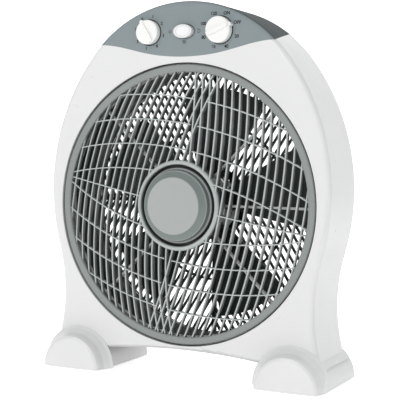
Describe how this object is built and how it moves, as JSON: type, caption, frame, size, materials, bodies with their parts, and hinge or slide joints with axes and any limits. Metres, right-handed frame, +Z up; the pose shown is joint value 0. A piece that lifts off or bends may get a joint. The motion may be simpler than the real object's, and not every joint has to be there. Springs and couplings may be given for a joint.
{
  "type": "box fan",
  "caption": "Arched portable box fan on two half-round feet, with a slowly turning domed louvre grille, a pitched impeller, speed and timer dials and a grille rocker.",
  "frame": {"origin": "on the floor under the middle of the fan's overall box", "axes": "+X to the right seen from the front, front faces -Y, +Z up"},
  "size_m": [0.381, 0.1314, 0.4605],
  "materials": {
    "housing_white": "smooth satin moulding",
    "panel_grey": "fine satin",
    "grille_grey": "fine satin",
    "cap_grey": "satin",
    "dark_plastic": "satin",
    "support_plastic": "satin",
    "blade_plastic": "smoked gloss",
    "knob_white": "gloss",
    "steel": "zinc plated",
    "core_steel": "varnished laminations",
    "shield_metal": "pressed",
    "copper": "varnished enamelled wire",
    "bronze": "sintered",
    "pad_rubber": "matte",
    "case_black": "matte",
    "motor_case": "plated can"
  },
  "bodies": {
    "housing": {"front_shell": "housing_white", "rear_shell": "housing_white", "control_panel": "panel_grey", "air_duct": "dark_plastic", "rear_grille": "dark_plastic", "front_support": "support_plastic", "left_foot": "housing_white", "right_foot": "housing_white", "foot_pads": "pad_rubber", "foot_screws": "steel", "housing_screws": "steel", "panel_screws": "steel", "rear_grille_screws": "steel", "support_screws": "steel", "grille_motor": "motor_case", "grille_motor_screws": "steel", "stator": "core_steel", "stator_windings": "copper", "front_shield": "shield_metal", "rear_shield": "shield_metal", "front_bush": "bronze", "rear_bush": "bronze", "motor_bolts": "steel", "motor_screws": "steel", "speed_switch": "case_black", "timer": "case_black", "control_nuts": "steel", "rocker_switch": "case_black", "capacitor": "case_black", "terminal_block": "case_black", "cord_inlet": "pad_rubber"},
    "grille": {"louvre_grille": "grille_grey", "grille_cap": "cap_grey", "grille_screw": "steel", "grille_motor_shaft": "steel"},
    "fan_rotor": {"impeller": "blade_plastic", "impeller_nut": "dark_plastic", "drive_pin": "steel", "motor_shaft": "steel", "rotor": "core_steel"},
    "speed_control": {"speed_knob": "knob_white", "speed_spindle": "steel"},
    "timer_control": {"timer_knob": "knob_white", "timer_spindle": "steel"},
    "rocker": {"grille_rocker": "knob_white"}
  },
  "joints": [
    {"name": "grille_spin", "type": "hinge", "parent": "housing", "child": "grille", "pos_m": [0, -0.037, 0.212], "axis": [0, -1, 0], "continuous": true},
    {"name": "impeller_spin", "type": "hinge", "parent": "housing", "child": "fan_rotor", "pos_m": [0, 0.006, 0.212], "axis": [0, -1, 0], "continuous": true},
    {"name": "speed_turn", "type": "hinge", "parent": "housing", "child": "speed_control", "pos_m": [-0.048, -0.04, 0.4235], "axis": [0, -1, 0], "continuous": true},
    {"name": "timer_turn", "type": "hinge", "parent": "housing", "child": "timer_control", "pos_m": [0.048, -0.04, 0.4235], "axis": [0, -1, 0], "range_deg": [-270, 45]},
    {"name": "rocker_tilt", "type": "hinge", "parent": "housing", "child": "rocker", "pos_m": [0, -0.032, 0.4235], "axis": [0, 0, 1], "range_deg": [0, 10]}
  ]
}
